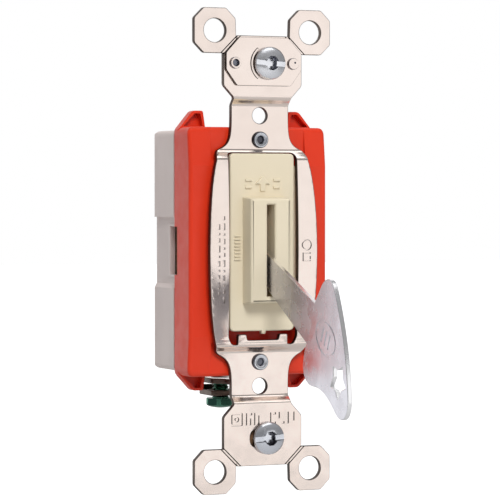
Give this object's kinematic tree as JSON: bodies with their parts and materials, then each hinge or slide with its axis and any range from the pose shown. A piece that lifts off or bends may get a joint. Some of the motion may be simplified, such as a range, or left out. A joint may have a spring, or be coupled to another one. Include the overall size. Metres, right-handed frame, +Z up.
{
  "type": "toggle wall switch",
  "caption": "Key-operated wall switch: plated strap with break-off ears, slotted ivory cover, red and grey moulded housing, and a flat steel key in the slot.",
  "frame": {"origin": "midway between the two mounting screws, in the plane of the strap ears' back faces, which is the wall surface", "axes": "+Z up along the strap, +Y into the wall box, so the front faces -Y, +X to the right seen from the front"},
  "size_m": [0.0334, 0.0697, 0.1076],
  "materials": {
    "nickel_plate": "bright nickel plate, warm white, mirror smooth with faint rolling marks",
    "bright_zinc": "bright zinc plate, slightly blue",
    "key_steel": "bright zinc-plated sheet steel with a burnished edge",
    "brass": "stamped brass",
    "silver_contact": "silver alloy",
    "green_screw": "dark green dyed zinc",
    "ivory_plastic": "moulded ivory thermoset, semi-gloss",
    "red_plastic": "moulded red thermoplastic, semi-gloss",
    "grey_plastic": "moulded light grey thermoset, matt",
    "dark_plastic": "black acetal",
    "rubber": "moulded rubber",
    "fibre": "brown vulcanised fibre"
  },
  "bodies": {
    "housing": {"strap": "nickel_plate", "key_slot_cover": "ivory_plastic", "front_frame": "red_plastic", "rear_body": "grey_plastic", "line_terminal": "brass", "load_terminal": "brass", "fixed_contact": "silver_contact", "side_insulator": "fibre", "rocker_pin": "key_steel", "upper_bumper": "rubber", "lower_bumper": "rubber", "upper_rivet": "bright_zinc", "lower_rivet": "bright_zinc", "auto_ground_clip": "nickel_plate", "left_clip_stake": "nickel_plate", "right_clip_stake": "nickel_plate", "upper_screw_retainer": "fibre", "lower_screw_retainer": "fibre"},
    "toggle": {"toggle_cradle": "dark_plastic", "toggle_spring": "key_steel", "spring_plunger": "key_steel"},
    "key": {"key": "key_steel"},
    "rocker": {"contact_rocker": "brass", "moving_contact": "silver_contact"},
    "line_clamp": {"line_clamp_plate": "bright_zinc"},
    "line_screw": {"line_screw": "brass"},
    "load_clamp": {"load_clamp_plate": "bright_zinc"},
    "load_screw": {"load_screw": "brass"},
    "ground_clamp": {"ground_clamp_plate": "bright_zinc"},
    "ground_screw": {"ground_screw": "green_screw"},
    "upper_mounting_screw": {"upper_mounting_screw": "bright_zinc"},
    "lower_mounting_screw": {"lower_mounting_screw": "bright_zinc"}
  },
  "joints": [
    {"name": "toggle_throw", "type": "hinge", "parent": "housing", "child": "toggle", "pos_m": [0, 0.0056, 0], "axis": [-1, 0, 0], "range_deg": [0, 50]},
    {"name": "key_pull", "type": "slide", "parent": "toggle", "child": "key", "axis": [0, -0.9063, -0.4226], "range_m": [0, 0.015]},
    {"name": "rocker_swing", "type": "hinge", "parent": "housing", "child": "rocker", "pos_m": [0, 0.0186, 0], "axis": [1, 0, 0], "range_deg": [0, 16]},
    {"name": "line_clamp_travel", "type": "slide", "parent": "housing", "child": "line_clamp", "axis": [1, 0, 0], "range_m": [0, 0.0024]},
    {"name": "line_screw_turn", "type": "hinge", "parent": "line_clamp", "child": "line_screw", "pos_m": [0.0138, 0.0172, -0.0132], "axis": [1, 0, 0], "range_deg": [0, 1089]},
    {"name": "load_clamp_travel", "type": "slide", "parent": "housing", "child": "load_clamp", "axis": [1, 0, 0], "range_m": [0, 0.0024]},
    {"name": "load_screw_turn", "type": "hinge", "parent": "load_clamp", "child": "load_screw", "pos_m": [0.0138, 0.0172, 0.0132], "axis": [1, 0, 0], "range_deg": [0, 1089]},
    {"name": "ground_clamp_travel", "type": "slide", "parent": "housing", "child": "ground_clamp", "axis": [0, 0, -1], "range_m": [-0.0013, 0.0012]},
    {"name": "ground_screw_turn", "type": "hinge", "parent": "ground_clamp", "child": "ground_screw", "pos_m": [-0.0054, 0.01, -0.0329], "axis": [0, 0, -1], "range_deg": [-590, 545]},
    {"name": "upper_mounting_screw_turn", "type": "hinge", "parent": "housing", "child": "upper_mounting_screw", "pos_m": [0.0011, -0.0023, 0.04167], "axis": [0, -1, 0], "continuous": true},
    {"name": "lower_mounting_screw_turn", "type": "hinge", "parent": "housing", "child": "lower_mounting_screw", "pos_m": [0.0011, -0.0016, -0.04167], "axis": [0, -1, 0], "continuous": true}
  ],
  "couplings": [
    {"joint": "rocker_swing", "follows": "toggle_throw", "ratio": 0.32},
    {"joint": "line_screw_turn", "follows": "line_clamp_travel", "rad_per_m": 7915.8},
    {"joint": "load_screw_turn", "follows": "load_clamp_travel", "rad_per_m": 7915.8},
    {"joint": "ground_screw_turn", "follows": "ground_clamp_travel", "rad_per_m": 7915.8}
  ]
}
